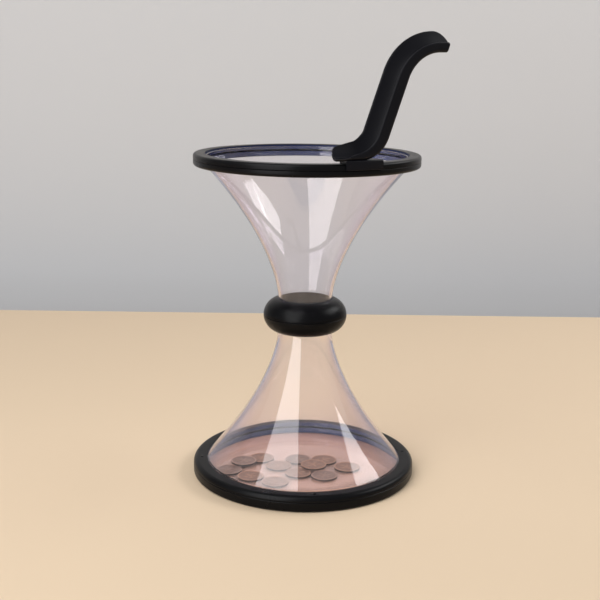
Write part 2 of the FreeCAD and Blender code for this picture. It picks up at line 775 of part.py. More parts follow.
def side_cut(body, name, plane, side, length, steps, role="XZ_Plane"):
    """Cut an outline through the chute: sideways from a plane at a radius, or from above."""
    sketch = new_sketch(body, name + "_outline", role, plane)
    outline(sketch, steps)
    cut = body.newObject("PartDesign::Pocket", name)
    cut.Profile = sketch
    cut.SideType = side
    cut.Reversed = side == "One side"
    cut.Length = length.value
    cut.setExpression("Length", length.formula)
    sketch.Visibility = False
    doc.recompute()


def save_parts():
    """Check every object, then write one STEP file for each sub-part."""
    doc.recompute()
    for item in doc.Objects:
        if "Invalid" in item.State or "Error" in item.State:
            raise RuntimeError(f"{item.Name} failed: {item.State}")
    for item in sub_parts:
        if item.Shape.isNull() or not item.Shape.isValid():
            raise RuntimeError(f"{item.Label} has no valid shape")
    os.makedirs("parts", exist_ok=True)
    for item in sub_parts:
        item.Shape.exportStep(f"parts/{item.Label}.step")
        print(item.Label, len(item.Shape.Solids), round(item.Shape.Volume / 1000, 3), "cm3")


flared_shell("upper_funnel", False)
flared_shell("lower_bell", True)
near_half("rim_ring_lower", rim_ring_radius, rim_ring_round, False)
far_half("rim_ring_upper", rim_ring_radius, rim_ring_depth, rim_ring_round, False)
near_half("base_ring_upper", base_ring_radius, base_ring_round, True)
far_half("base_ring_lower", base_ring_radius, base_ring_depth, base_ring_foot, True, floor_thickness)
ring_pins("rim_ring_pins", False)
ring_pins("base_ring_pins", True)
collar_half("waist_collar_upper", False)
collar_half("waist_collar_lower", True)
floor_disc()
for coin_name, coin_place in COIN_PLACES.items():
    coin(coin_name, *coin_place)
coin_ramp()
save_parts()
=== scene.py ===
import math

import bpy
import numpy as np
from bpy.props import FloatProperty, FloatVectorProperty, IntProperty, PointerProperty
from bpy.types import Operator, Panel, PropertyGroup
from mathutils import Matrix, Vector


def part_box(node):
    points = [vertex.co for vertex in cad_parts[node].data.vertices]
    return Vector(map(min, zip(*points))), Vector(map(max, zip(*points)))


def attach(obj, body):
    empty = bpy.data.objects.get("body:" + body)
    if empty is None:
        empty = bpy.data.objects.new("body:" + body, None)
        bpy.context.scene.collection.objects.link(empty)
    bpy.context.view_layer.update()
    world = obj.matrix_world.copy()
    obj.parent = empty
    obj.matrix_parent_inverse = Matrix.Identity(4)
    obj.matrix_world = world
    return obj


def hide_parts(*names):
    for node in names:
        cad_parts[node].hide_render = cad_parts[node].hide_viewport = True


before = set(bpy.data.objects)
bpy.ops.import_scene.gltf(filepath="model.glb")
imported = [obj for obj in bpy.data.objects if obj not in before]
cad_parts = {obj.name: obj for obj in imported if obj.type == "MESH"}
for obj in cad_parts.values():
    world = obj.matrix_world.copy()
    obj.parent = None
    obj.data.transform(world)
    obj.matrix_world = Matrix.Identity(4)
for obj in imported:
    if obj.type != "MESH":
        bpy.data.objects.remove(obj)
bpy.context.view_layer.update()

bl_info = {
    "name": "Vortex coin bank",
    "version": (1, 0, 0),
    "blender": (4, 5, 0),
    "location": "View3D > Sidebar > Vortex bank",
    "description": "Clear hourglass funnels, black clamp rings, coins and an S-shaped chute",
    "category": "Add Mesh",
}

# Heights of the waist and of the upper ring's top in the CAD frame, in metres.
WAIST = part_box("upper_funnel")[0].z
RIM_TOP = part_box("rim_ring_upper")[1].z

BODY = "root"
# Faces that meet at a smaller angle are shaded as one curve.
SMOOTH_EDGE = math.radians(38)
# Gap that keeps two touching faces apart, and the play between parts that fit together.
HAIR = 0.00002
FIT = 0.0001


# Properties

def length(name, metres, description):
    return FloatProperty(name=name, description=description, default=metres, min=0.0,
                         unit="LENGTH", precision=5)


def turn_angle(name, degrees, description):
    return FloatProperty(name=name, description=description, default=math.radians(degrees),
                         subtype="ANGLE")


def colour(name, values, description):
    return FloatVectorProperty(name=name, description=description, default=values, size=3,
                               min=0.0, max=1.0, subtype="COLOR")


def share(name, value, description):
    return FloatProperty(name=name, description=description, default=value, min=0.0, max=1.0,
                         subtype="FACTOR")


def power(name, watts, description):
    return FloatProperty(name=name, description=description, default=watts, min=0.0, unit="POWER")


class ShellSettings(PropertyGroup):
    lip_radius: length("Lip radius", 0.079, "Outside of the shell's wide end")
    neck_radius: length("Neck radius", 0.0215, "Outside of the shell's neck")
    wall: length("Wall", 0.0018, "Thickness of the clear moulding")
    reach: length("Reach", 0.119, "From the waist to the near face of a ring")
    neck_length: length("Neck length", 0.012, "Straight part of the neck")
    flare_start: length("Flare start", 0.002, "How long the flare stays upright")
    flare_knee: length("Flare knee", 0.055, "Height that pulls the flare inwards")
    neck_flange_width: length("Neck flange width", 0.004, "Flange held in the collar")
    neck_flange_depth: length("Neck flange depth", 0.0016, "Thickness of that flange")
    lip_length: length("Lip length", 0.008, "Straight lip inside the ring")
    rim_flange_width: length("Rim flange width", 0.006, "Flange held between the ring halves")
    rim_flange_set: length("Rim flange set", 0.004, "From the ring's near face to that flange")
    rim_flange_depth: length("Rim flange depth", 0.0015, "Thickness of that flange")
    floor_radius: length("Floor radius", 0.0841, "Radius of the clear disc in the base")
    floor_thickness: length("Floor thickness", 0.002, "Thickness of the clear disc")
    segments: IntProperty(name="Segments", description="Steps round the axis", default=256, min=24)
    tint: colour("Tint", (0.985, 0.958, 0.975), "Colour of light that passes the plastic")
    # Besides the disc's own tint, this darkening paints the shade inside the base under the clear
    # bell.
    disc_tint_and_shade: colour("Floor tint", (0.73, 0.62, 0.60), "Colour of light that passes the disc")
    haze: share("Haze", 0.012, "Share of light that the plastic scatters")


class RingSettings(PropertyGroup):
    bore: length("Bore", 0.0791, "Radius of the hole in both rings")
    rim_radius: length("Rim radius", 0.0883, "Outside of the upper ring")
    rim_depth: length("Rim depth", 0.0095, "Height of the upper ring")
    rim_round: length("Rim rounding", 0.0022, "Rounding of the upper ring")
    base_radius: length("Base radius", 0.09, "Outside of the base ring")
    base_depth: length("Base depth", 0.0125, "Height of the base ring")
    base_round: length("Base rounding", 0.0042, "Rounding of the base ring's upper edge")
    base_foot: length("Foot rounding", 0.0024, "Rounding of the base ring's lower edge")
    groove: length("Groove", 0.0004, "Parting groove between two ring halves")
    edge: length("Edge", 0.0003, "Softening of the other edges")
    pin_circle: length("Pin circle", 0.0832, "Radius of the circle that the pins stand on")
    pin_radius: length("Pin radius", 0.0008, "Shank of a pin")
    pin_head: length("Pin head", 0.0013, "Head of a pin")
    pin_dome: length("Pin dome", 0.00035, "Height of a pin's head above the ring")
    pin_sink: length("Pin sink", 0.0005, "How deep a pin's head is let into the ring")
    pin_bite: length("Pin bite", 0.0022, "How far a pin reaches into the other half")
    first_pin: turn_angle("First pin", -84.0, "Direction of the pin nearest the front")
    black: colour("Ring black", (0.0026, 0.0026, 0.0031), "Colour of the ring plastic")
    # Painted reflection: the navy that the black bore shows through the clear shell is painted on
    # it.
    painted_navy: colour("Bore navy", (0.017, 0.025, 0.072), "Colour of the ring behind the clear shell")


class CollarSettings(PropertyGroup):
    radius: length("Collar radius", 0.0333, "Outside of the round collar")
    section: length("Section radius", 0.0136, "Radius of the collar's round section")
    wall: length("Wall", 0.0022, "Thickness of a collar half")
    lap: length("Lap", 0.0022, "How far the tongue enters the groove")
    tongue: length("Tongue", 0.0011, "Thickness of the tongue")
    black: colour("Collar black", (0.0022, 0.0022, 0.0027), "Colour of the collar plastic")


class CoinSettings(PropertyGroup):
    radius: length("Coin radius", 0.0105, "Radius of a coin")
    thickness: length("Coin thickness", 0.0017, "Thickness of a coin")
    rim: length("Rim width", 0.0011, "Width of the raised edge")
    relief: length("Relief", 0.00018, "Height of the raised edge")
    beads: IntProperty(name="Beads", description="Beads inside the raised edge", default=48, min=6)
    bronze: colour("Bronze", (0.40, 0.21, 0.135), "Colour of the bronze coins")
    nickel: colour("Nickel", (0.37, 0.225, 0.17), "Colour of the nickel coins")


class RampSettings(PropertyGroup):
    turned: turn_angle("Turn", 26.0, "Direction of the foot, from the front to the right")
    track: length("Track", 0.0825, "Radius of the chute's centre line at the foot")
    seat: length("Seat", 0.002, "Height of the chute's underside above the ring")
    foot_back: length("Foot back", 0.0206, "Open end, from the foot's centre")
    foot_run: length("Foot run", 0.0197, "Level stretch of the chute")
    lower_bend: length("Lower bend", 0.024, "Radius of the lower bend")
    slope: turn_angle("Slope", 70.0, "Slope of the straight stretch")
    climb: length("Climb", 0.0437, "Length of the straight stretch")
    upper_bend: length("Upper bend", 0.0275, "Radius of the upper bend")
    top_slope: turn_angle("Top slope", 1.0, "Slope of the upper end")
    top_run: length("Top run", 0.012, "Straight stretch at the upper end")
    wall: length("Wall", 0.002, "Thickness of the chute")
    rail_height: length("Rail height", 0.0072, "Height of the outer rail")
    rail_swell: length("Rail swell", 0.0023, "How much taller the outer rail is on the climb")
    wall_height: length("Wall height", 0.015, "Height of the banked inner wall")
    foot_height: length("Foot height", 0.0099, "Height of the inner wall at the open end")
    reach_out: length("Reach out", 0.0065, "From the centre line to the rail's face")
    plate: length("Clip plate", 0.0025, "Thickness of the clip on the ring")
    skirt: length("Clip skirt", 0.0017, "Thickness of the clip's two skirts")
    drop: length("Clip drop", 0.0045, "Depth of the outer skirt")
    hook: length("Clip hook", 0.006, "Depth of the inner skirt")
    end_skew: turn_angle("End skew", 25.0, "Slant of the upper end, seen from above")
    behind: turn_angle("Clip behind", 8.4, "Clip on the ring, towards the open end")
    ahead: turn_angle("Clip ahead", 10.8, "Clip on the ring, towards the climb")
    black: colour("Chute black", (0.0024, 0.0024, 0.0040), "Colour of the chute plastic")


class StudioSettings(PropertyGroup):
    camera_place: FloatVectorProperty(
        name="Camera", description="Place of the camera", size=3, subtype="TRANSLATION",
        unit="LENGTH", default=(-0.00417, -0.8352, 0.3366))
    camera_pitch: turn_angle("Pitch", 13.06, "How far the camera looks down")
    camera_roll: turn_angle("Roll", 0.713, "Turn about the line of sight")
    camera_lens: FloatProperty(name="Lens", description="Focal length on a 36 mm sensor",
                               default=64.32, min=1.0, unit="CAMERA")
    floor_front: length("Floor front", 0.62, "From the object to the floor's near edge")
    floor_depth: length("Floor depth", 0.54, "From the object to the floor's far edge")
    wall_gap: length("Wall gap", 0.25, "From the floor's far edge to the wall")
    floor: colour("Floor", (0.74, 0.58, 0.41), "Colour of the plain pale floor")
    backdrop: colour("Backdrop", (0.60, 0.60, 0.612), "Colour of the plain wall")
    sky: colour("Sky", (0.42, 0.42, 0.43), "Plain colour seen around the set")
    fill: share("Fill", 0.26, "Strength of the even light from all sides")
    window: power("Window", 37.0, "Power of the tall window")
    window_turn: turn_angle("Window turn", -38.0, "Direction of the window, from the front")
    window_rise: turn_angle("Window rise", 33.0, "Height of the window above the horizon")
    window_lean: turn_angle("Window lean", 8.0, "Lean of the window's upper end to the left")
    window_width: length("Window width", 1.24, "Width of the window")
    window_height: length("Window height", 2.76, "Height of the window")
    side: power("Side light", 6.2, "Power of the light on the right")
    side_turn: turn_angle("Side turn", 96.0, "Direction of the side light, from the front")
    side_rise: turn_angle("Side rise", 36.0, "Height of the side light above the horizon")
    side_width: length("Side width", 0.78, "Width of the side light")
    side_height: length("Side height", 0.62, "Height of the side light")
    back: power("Back light", 3.4, "Power of the light from behind")
    back_turn: turn_angle("Back turn", 123.0, "Direction of the back light, from the front")
    back_rise: turn_angle("Back rise", 30.0, "Height of the back light above the horizon")
    back_lean: turn_angle("Back lean", -40.0, "Lean of the back light")
    back_width: length("Back width", 0.70, "Width of the back light")
    back_height: length("Back height", 0.45, "Height of the back light")


class BankSettings(PropertyGroup):
    shell: PointerProperty(type=ShellSettings)
    ring: PointerProperty(type=RingSettings)
    collar: PointerProperty(type=CollarSettings)
    coin: PointerProperty(type=CoinSettings)
    ramp: PointerProperty(type=RampSettings)
    studio: PointerProperty(type=StudioSettings)


# Profiles: arrays of points, radius first and height second

def line(*points):
    """Corners of a profile as one array."""
    return np.array(points, float)


def arc(centre, radius, start, end, steps):
    """Centre plus radius times (cos a, sin a), with a running evenly from start to end."""
    a = np.radians(np.linspace(start, end, steps + 1))
    return np.column_stack((centre[0] + radius * np.cos(a), centre[1] + radius * np.sin(a)))


def filleted(corners, radii, steps):
    """A closed polygon whose corners are turned into arcs that touch both sides.

    An arc's centre lies on the corner's bisector, radius over the sine of half the angle
    away, and its points are a spherical blend between the directions of its two ends.
    """
    corners = np.asarray(corners, float)
    radii = np.asarray(radii, float)
    before = np.roll(corners, 1, axis=0) - corners
    after = np.roll(corners, -1, axis=0) - corners
    before /= np.linalg.norm(before, axis=1)[:, None]
    after /= np.linalg.norm(after, axis=1)[:, None]
    half = np.arccos(np.clip((before * after).sum(1), -1, 1)) / 2
    bisector = before + after
    bisector /= np.maximum(np.linalg.norm(bisector, axis=1), 1e-12)[:, None]
    centre = corners + bisector * (radii / np.sin(half))[:, None]
    touch = (radii / np.tan(half))[:, None]
    first = corners + before * touch - centre
    last = corners + after * touch - centre
    opening = math.pi - 2 * half
    t = np.linspace(0, 1, steps + 1)
    pieces = []
    for k, corner in enumerate(corners):
        if radii[k] == 0:
            pieces.append(corner[None])
            continue
        weight_a = np.sin((1 - t) * opening[k]) / math.sin(opening[k])
        weight_b = np.sin(t * opening[k]) / math.sin(opening[k])
        pieces.append(centre[k] + weight_a[:, None] * first[k] + weight_b[:, None] * last[k])
    return np.vstack(pieces)


def bezier(poles, steps):
    """A cubic curve: its four poles weighted by the Bernstein polynomials of t."""
    t = np.linspace(0, 1, steps + 1)[:, None]
    s = 1 - t
    p = np.asarray(poles, float)
    return s ** 3 * p[0] + 3 * s * s * t * p[1] + 3 * s * t * t * p[2] + t ** 3 * p[3]


def stood(profile, upside_down):
    """A profile drawn from the waist outwards, set above the waist or below it."""
    sign = -1 if upside_down else 1
    return np.column_stack((profile[:, 0], WAIST + sign * profile[:, 1]))


# Surfaces: points, four-sided and three-sided faces as arrays

def grid_faces(rows, columns, wrap_rows, wrap_columns):
    """Faces of a grid whose point (i, j) has the number i * columns + j."""
    i = np.arange(rows if wrap_rows else rows - 1)[:, None]
    j = np.arange(columns if wrap_columns else columns - 1)[None]
    here = i * columns + j
    right = i * columns + (j + 1) % columns
    below = (i + 1) % rows * columns + j
    across = (i + 1) % rows * columns + (j + 1) % columns
    return np.stack((here, right, across, below), axis=-1).reshape(-1, 4)


def around(profile, segments):
    """Carry a profile round Z: (r cos a, r sin a, z) for every angle a."""
    a = np.linspace(0, 2 * math.pi, segments, endpoint=False)
    r = profile[:, 0][:, None]
    z = np.broadcast_to(profile[:, 1][:, None], (len(profile), segments))
    return np.stack((r * np.cos(a), r * np.sin(a), z), axis=-1).reshape(-1, 3)


def turned_ring(profile, segments):
    """A closed profile carried round Z, which is closed both ways."""
    return around(profile, segments), grid_faces(len(profile), segments, True, True), None


def turned_solid(profile, segments):
    """A profile whose ends lie on Z: its inner points are carried round, its ends are poles."""
    ring = around(profile[1:-1], segments)
    rows = len(profile) - 2
    poles = np.array([(0, 0, profile[0, 1]), (0, 0, profile[-1, 1])], float)
    j = np.arange(segments)
    onward = (j + 1) % segments
    first = np.column_stack((np.full(segments, len(ring)), onward, j))
    base = (rows - 1) * segments
    last = np.column_stack((np.full(segments, len(ring) + 1), base + j, base + onward))
    quads = grid_faces(rows, segments, False, True)
    return np.vstack((ring, poles)), quads, np.vstack((first, last))


def volume(points, quads, triangles):
    """Signed volume under the faces: a sixth of the sum of a . (b x c)."""
    fans = [quads[:, [0, 1, 2]], quads[:, [0, 2, 3]]]
    if triangles is not None:
        fans.append(triangles)
    a, b, c = (points[np.vstack(fans)[:, k]] for k in range(3))
    return float((a * np.cross(b, c)).sum() / 6)


def joined(surfaces):
    """Several surfaces as one, each turned outwards, with their points numbered on."""
    points, quads, triangles = [], [], []
    base = 0
    for p, q, t in surfaces:
        if volume(p, q, t) < 0:
            q = q[:, ::-1]
            t = None if t is None else t[:, ::-1]
        points.append(p)
        quads.append(q + base)
        if t is not None:
            triangles.append(t + base)
        base += len(p)
    return np.vstack(points), np.vstack(quads), np.vstack(triangles) if triangles else None


def mesh_of(name, surface):
    """Put a surface into a new mesh by foreach_set, with its faces turned outwards."""
    points, quads, triangles = joined([surface])
    loops = [quads.ravel()]
    sizes = [np.full(len(quads), 4)]
    if triangles is not None:
        loops.append(triangles.ravel())
        sizes.append(np.full(len(triangles), 3))
    loops = np.concatenate(loops).astype(np.int32)
    sizes = np.concatenate(sizes).astype(np.int32)
    mesh = bpy.data.meshes.new(name)
    mesh.vertices.add(len(points))
    mesh.vertices.foreach_set("co", points.astype(np.float32).ravel())
    mesh.loops.add(len(loops))
    mesh.loops.foreach_set("vertex_index", loops)
    mesh.polygons.add(len(sizes))
    mesh.polygons.foreach_set("loop_start", (np.cumsum(sizes) - sizes).astype(np.int32))
    mesh.update(calc_edges=True)
    mesh.validate()
    mesh.shade_smooth()
    mesh.set_sharp_from_angle(angle=SMOOTH_EDGE)
    return mesh


def add_piece(name, mesh, material, slot, *nodes):
    """Link a mesh as one piece that rides on the body and stands for its CAD node."""
    piece = bpy.data.objects.new(name, mesh)
    bpy.context.scene.collection.objects.link(piece)
    mesh.materials.clear()
    mesh.materials.append(material)
    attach(piece, BODY)
    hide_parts(*nodes)


# Materials

# What the clear plastic's tint is multiplied by where it is seen edge-on.
EDGE_VIOLET = (0.66, 0.60, 0.92)


class Finish:
    """A new material with a Principled shader, and short calls that add nodes to it."""

    def __init__(self, name, **sockets):
        self.material = bpy.data.materials.new(name)
        self.material.use_nodes = True
        self.tree = self.material.node_tree
        self.tree.nodes.clear()
        self.output = self.node("ShaderNodeOutputMaterial")
        self.shader = self.node("ShaderNodeBsdfPrincipled", **sockets)
        self.link(self.shader, "BSDF", self.output, "Surface")

    def node(self, kind, **sockets):
        """A new node, with values for sockets whose names have spaces for underscores."""
        made = self.tree.nodes.new(kind)
        for socket, value in sockets.items():
            made.inputs[socket.replace("_", " ")].default_value = value
        return made

    def link(self, source, output, target, socket):
        """Join an output of one node to a socket of another."""
        self.tree.links.new(source.outputs[output], target.inputs[socket])

    def noise(self, scale, detail, roughness=0.55):
        """Noise on Object coordinates, in waves per metre."""
        texture = self.node("ShaderNodeTexNoise", Scale=scale, Detail=detail, Roughness=roughness)
        self.link(self.node("ShaderNodeTexCoord"), "Object", texture, "Vector")
        return texture

    def spread(self, source, output, low, high, from_low=0.3, from_high=0.7):
        """Stretch a value between two limits to another two."""
        ranged = self.node("ShaderNodeMapRange")
        ranged.inputs["From Min"].default_value = from_low
        ranged.inputs["From Max"].default_value = from_high
        ranged.inputs["To Min"].default_value = low
        ranged.inputs["To Max"].default_value = high
        self.link(source, output, ranged, "Value")
        return ranged

    def attribute(self, name):
        """A number that the mesh carries at each of its points."""
        made = self.node("ShaderNodeAttribute")
        made.attribute_name = name
        return made

    def blend(self, factor, output, first, second):
        """Mix two colours by a factor. The first may be another mix."""
        mix = self.node("ShaderNodeMix")
        mix.data_type = "RGBA"
        self.tree.links.new(factor.outputs[output], mix.inputs[0])
        for number, value in ((6, first), (7, second)):
            if hasattr(value, "outputs"):
                self.tree.links.new(value.outputs[2], mix.inputs[number])
            else:
                mix.inputs[number].default_value = (*value, 1)
        return mix

    def paint(self, mix):
        """Give the shader a mix as its colour."""
        self.tree.links.new(mix.outputs[2], self.shader.inputs["Base Color"])

    def bump(self, source, output, strength, distance):
        """Raise the surface by a value, up to a distance in metres."""
        bump = self.node("ShaderNodeBump", Strength=strength, Distance=distance)
        self.link(source, output, bump, "Height")
        self.link(bump, "Normal", self.shader, "Normal")


def scaled(values, factor):
    """A colour with each part multiplied, kept within 1."""
    return tuple(min(1.0, factor * value) for value in values)


def black_plastic(name, base, gloss, grain, shine, bore=None):
    """Moulded black plastic: a fine grain, slow changes of gloss and a few pale specks.

    Where the bore attribute is set, the wall behind a shell is painted navy, a painted reflection
    of the clear shell.
    """
    finish = Finish(name, Specular_IOR_Level=shine, IOR=1.5)
    slow = finish.noise(26.0, 4.0)
    fine = finish.noise(2600.0, 2.0)
    specks = finish.noise(420.0, 1.0, 0.4)
    rough = finish.spread(slow, "Fac", gloss - 0.04, gloss + 0.05)
    finish.link(rough, "Result", finish.shader, "Roughness")
    worn = tuple(1.9 * c + 0.004 for c in base)
    tone = finish.blend(slow, "Fac", base, scaled(base, 1.35))
    dust = finish.spread(specks, "Fac", 0.0, 0.5, 0.72, 0.80)
    coloured = finish.blend(dust, "Result", tone, worn)
    if bore is not None:
        # Painted reflection: the bore of the black ring is painted navy.
        coloured = finish.blend(finish.attribute("bore"), "Fac", coloured, bore)
    finish.paint(coloured)
    finish.bump(fine, "Fac", grain, 0.00006)
    return finish.material


def clear_plastic(name, tint, haze, gloss):
    """Clear moulding: glass that lets lamps through, a trace of haze and a slow waviness."""
    finish = Finish(name, IOR=1.49, Transmission_Weight=1 - haze)
    facing = finish.node("ShaderNodeLayerWeight", Blend=0.5)
    edge = finish.spread(facing, "Facing", 0.0, 1.0, 0.42, 1.0)
    edge_tint = tuple(c * t for c, t in zip(EDGE_VIOLET, tint))
    finish.paint(finish.blend(edge, "Result", tint, edge_tint))
    slow = finish.noise(34.0, 2.0)
    smear = finish.noise(90.0, 5.0)
    rough = finish.spread(smear, "Fac", gloss, gloss + 0.012)
    finish.link(rough, "Result", finish.shader, "Roughness")
    finish.bump(slow, "Fac", 0.35, 0.0003)
    passing = finish.node("ShaderNodeBsdfTransparent", Color=(*(0.5 + 0.5 * c for c in tint), 1))
    path = finish.node("ShaderNodeLightPath")
    mix = finish.node("ShaderNodeMixShader")
    finish.link(path, "Is Shadow Ray", mix, "Fac")
    finish.tree.links.new(finish.shader.outputs["BSDF"], mix.inputs[1])
    finish.tree.links.new(passing.outputs["BSDF"], mix.inputs[2])
    finish.link(mix, "Shader", finish.output, "Surface")
    return finish.material


def struck_metal(name, base, dull):
    """Handled coin metal: patina and painted shade in the hollows that the relief attribute marks,
    painted shade on the edge wall.
    """
    finish = Finish(name, Metallic=0.6)
    slow = finish.noise(190.0, 5.0, 0.65)
    fine = finish.noise(1500.0, 3.0)
    tone = finish.blend(slow, "Fac", scaled(base, 0.74), scaled(base, 1.18))
    # Patina and painted shade: a low relief level darkens the metal.
    patina_and_shade = finish.spread(finish.attribute("relief"), "Fac", 0.96, 0.0, 0.0, 1.0)
    finish.paint(finish.blend(patina_and_shade, "Result", tone, scaled(base, 0.12)))
    rough = finish.spread(slow, "Fac", dull + 0.12, dull - 0.06)
    finish.link(rough, "Result", finish.shader, "Roughness")
    finish.bump(fine, "Fac", 0.25, 0.00005)
    return finish.material


def matt_colour(name, base):
    """Even, unpolished colour for the set."""
    return Finish(name, Base_Color=(*base, 1), Roughness=0.85).material


# Operators

def bank():
    """The sizes and colours that the scene holds."""
    return bpy.context.scene.vortex_bank


def shell_profile(shell):
    """Outside up the neck, out along the flare and over the lip, and back down inside.

    The flare is a cubic curve: upright at the neck, pulled in by the knee, ending at the lip.
    """
    steps = 56
    inner_neck = shell.neck_radius - shell.wall
    inner_lip = shell.lip_radius - shell.wall
    flange = shell.neck_radius + shell.neck_flange_width
    rim_flange = shell.lip_radius + shell.rim_flange_width
    near = shell.reach + shell.rim_flange_set
    far = near + shell.rim_flange_depth
    end = shell.reach + shell.lip_length
    poles = shell.neck_length + shell.flare_start
    heights = (shell.neck_length, poles, shell.flare_knee, shell.reach)
    neck = shell.neck_radius
    outside = bezier(list(zip((neck, neck, neck, shell.lip_radius), heights)), steps)
    inside = bezier(list(zip((inner_neck, inner_neck, inner_neck, inner_lip), heights)), steps)
    soft = shell.wall * 0.3
    lip = arc((shell.lip_radius - soft, end - soft), soft, 0, 90, 4)
    lip_in = arc((inner_lip + soft, end - soft), soft, 90, 180, 4)
    return np.vstack([
        line((inner_neck, HAIR), (flange, HAIR), (flange, shell.neck_flange_depth),
             (shell.neck_radius, shell.neck_flange_depth)),
        outside,
        line((shell.lip_radius, near), (rim_flange, near),
             (rim_flange, far), (shell.lip_radius, far)),
        lip, lip_in, inside[::-1],
    ])


class BANK_OT_shells(Operator):
    """Add the two clear flared shells, neck to neck, and the clear disc in the base"""
    bl_idname = "bank.shells"
    bl_label = "Clear shells"

    def execute(self, context):
        shell = bank().shell
        clear = clear_plastic("clear_shell_plastic", shell.tint, shell.haze, gloss=0.0)
        profile = shell_profile(shell)
        for name, node, upside_down in (("funnel_shell", "upper_funnel", False),
                                        ("bell_shell", "lower_bell", True)):
            surface = turned_ring(stood(profile, upside_down), shell.segments)
            add_piece(name, mesh_of(name, surface), clear, "clear_shell", node)
        self.add_floor(shell)
        return {"FINISHED"}

    def add_floor(self, shell):
        """Disc with softened edges, from the pole below to the pole above."""
        soft = shell.floor_thickness * 0.15
        edge = shell.floor_radius
        top = shell.floor_thickness
        profile = np.vstack([
            line((0, 0), (edge / 2, 0)),
            arc((edge - soft, soft), soft, -90, 0, 3),
            arc((edge - soft, top - soft), soft, 0, 90, 3),
            line((edge / 2, top), (0, top)),
        ])
        # The disc's tint is darkened to paint the shade inside the base.
        clear = clear_plastic("clear_disc_plastic", shell.disc_tint_and_shade, shell.haze, gloss=0.01)
        mesh = mesh_of("clear_floor", turned_solid(profile, shell.segments))
        add_piece("clear_floor", mesh, clear, "clear_disc", "floor_disc")


def near_ring(ring, shell, radius, rounding):
    """Profile of the ring half on the shell's side, with its seat for the flange."""
    near = shell.reach + shell.rim_flange_set
    split = near + shell.rim_flange_depth / 2
    seat = shell.lip_radius + shell.rim_flange_width + FIT
    corners = [(ring.bore, shell.reach), (radius, shell.reach), (radius, split - ring.groove),
               (radius - ring.groove, split - HAIR), (seat, split - HAIR), (seat, near),
               (ring.bore, near)]
    return filleted(corners, [ring.edge, rounding, ring.edge / 3, 0, 0, 0, ring.edge / 2], 10)


def far_ring(ring, shell, radius, depth, rounding, rebate):
    """Profile of the ring half on the outer side, with a rebate for the disc if asked."""
    near = shell.reach + shell.rim_flange_set
    split = near + shell.rim_flange_depth / 2
    far = near + shell.rim_flange_depth
    seat = shell.lip_radius + shell.rim_flange_width + FIT
    end = shell.reach + depth
    corners = [(ring.bore, far), (seat, far), (seat, split + HAIR),
               (radius - ring.groove, split + HAIR), (radius, split + ring.groove), (radius, end)]
    radii = [ring.edge / 2, 0, 0, 0, ring.edge / 3, rounding]
    if rebate:
        disc = shell.floor_radius + FIT
        corners += [(disc, end), (disc, end - shell.floor_thickness),
                    (ring.bore, end - shell.floor_thickness)]
        radii += [ring.edge, 0, ring.edge / 2]
    else:
        corners += [(ring.bore, end)]
        radii += [ring.edge * 2]
    return filleted(corners, radii, 10)


class BANK_OT_rings(Operator):
    """Add the four ring halves that clamp the flanges at the rim and in the base"""
    bl_idname = "bank.rings"
    bl_label = "Clamp rings"

    def execute(self, context):
        ring = bank().ring
        shell = bank().shell
        black = black_plastic("ring_plastic", ring.black, gloss=0.30, grain=0.04, shine=0.11,
                              bore=ring.painted_navy)
        rows = (
            ("rim_ring_lower_half", "rim_ring_lower", False,
             near_ring(ring, shell, ring.rim_radius, ring.rim_round)),
            ("rim_ring_upper_half", "rim_ring_upper", False,
             far_ring(ring, shell, ring.rim_radius, ring.rim_depth, ring.rim_round, False)),
            ("base_ring_upper_half", "base_ring_upper", True,
             near_ring(ring, shell, ring.base_radius, ring.base_round)),
            ("base_ring_lower_half", "base_ring_lower", True,
             far_ring(ring, shell, ring.base_radius, ring.base_depth, ring.base_foot, True)),
        )
        for name, node, upside_down, profile in rows:
            points, quads, triangles = turned_ring(stood(profile, upside_down), shell.segments)
            mesh = mesh_of(name, (points, quads, triangles))
            # Mark of the bore, where the ring is painted navy as a painted reflection of the clear
            # shell.
            mark = mesh.attributes.new("bore", "FLOAT", "POINT")
            inside = np.hypot(points[:, 0], points[:, 1]) < ring.bore + HAIR
            mark.data.foreach_set("value", inside.astype(np.float32))
            add_piece(name, mesh, black, "ring_black", node)
        return {"FINISHED"}


class BANK_OT_pins(Operator):
    """Add four domed pins in each pair of ring halves"""
    bl_idname = "bank.pins"
    bl_label = "Ring pins"

    def execute(self, context):
        ring = bank().ring
        shell = bank().shell
        black = black_plastic("pin_plastic", ring.black, gloss=0.22, grain=0.04, shine=0.10)
        split = shell.reach + shell.rim_flange_set + shell.rim_flange_depth / 2
        end = split + ring.pin_bite
        seat = shell.reach + ring.pin_sink
        head = ring.pin_head
        bevel = 0.0003
        # Angles up the dome, from just above its edge to just short of its pole.
        dome = np.linspace(0.15, 1.45, 8)
        profile = np.vstack([
            line((0, end), (ring.pin_radius * 0.8, end), (ring.pin_radius, end - bevel),
                 (ring.pin_radius, seat), (head, seat), (head, shell.reach)),
            np.column_stack((head * np.cos(dome), shell.reach - ring.pin_dome * np.sin(dome))),
            line((0, shell.reach - ring.pin_dome)),
        ])
        for name, node, upside_down in (("rim_pins", "rim_ring_pins", False),
                                        ("base_pins", "base_ring_pins", True)):
            points, quads, triangles = turned_solid(stood(profile, upside_down), 28)
            angles = ring.first_pin + np.arange(4) * math.pi / 2
            row = [(points + (ring.pin_circle * math.cos(a), ring.pin_circle * math.sin(a), 0),
                    quads, triangles) for a in angles]
            add_piece(name, mesh_of(name, joined(row)), black, "pin_black", node)
        return {"FINISHED"}


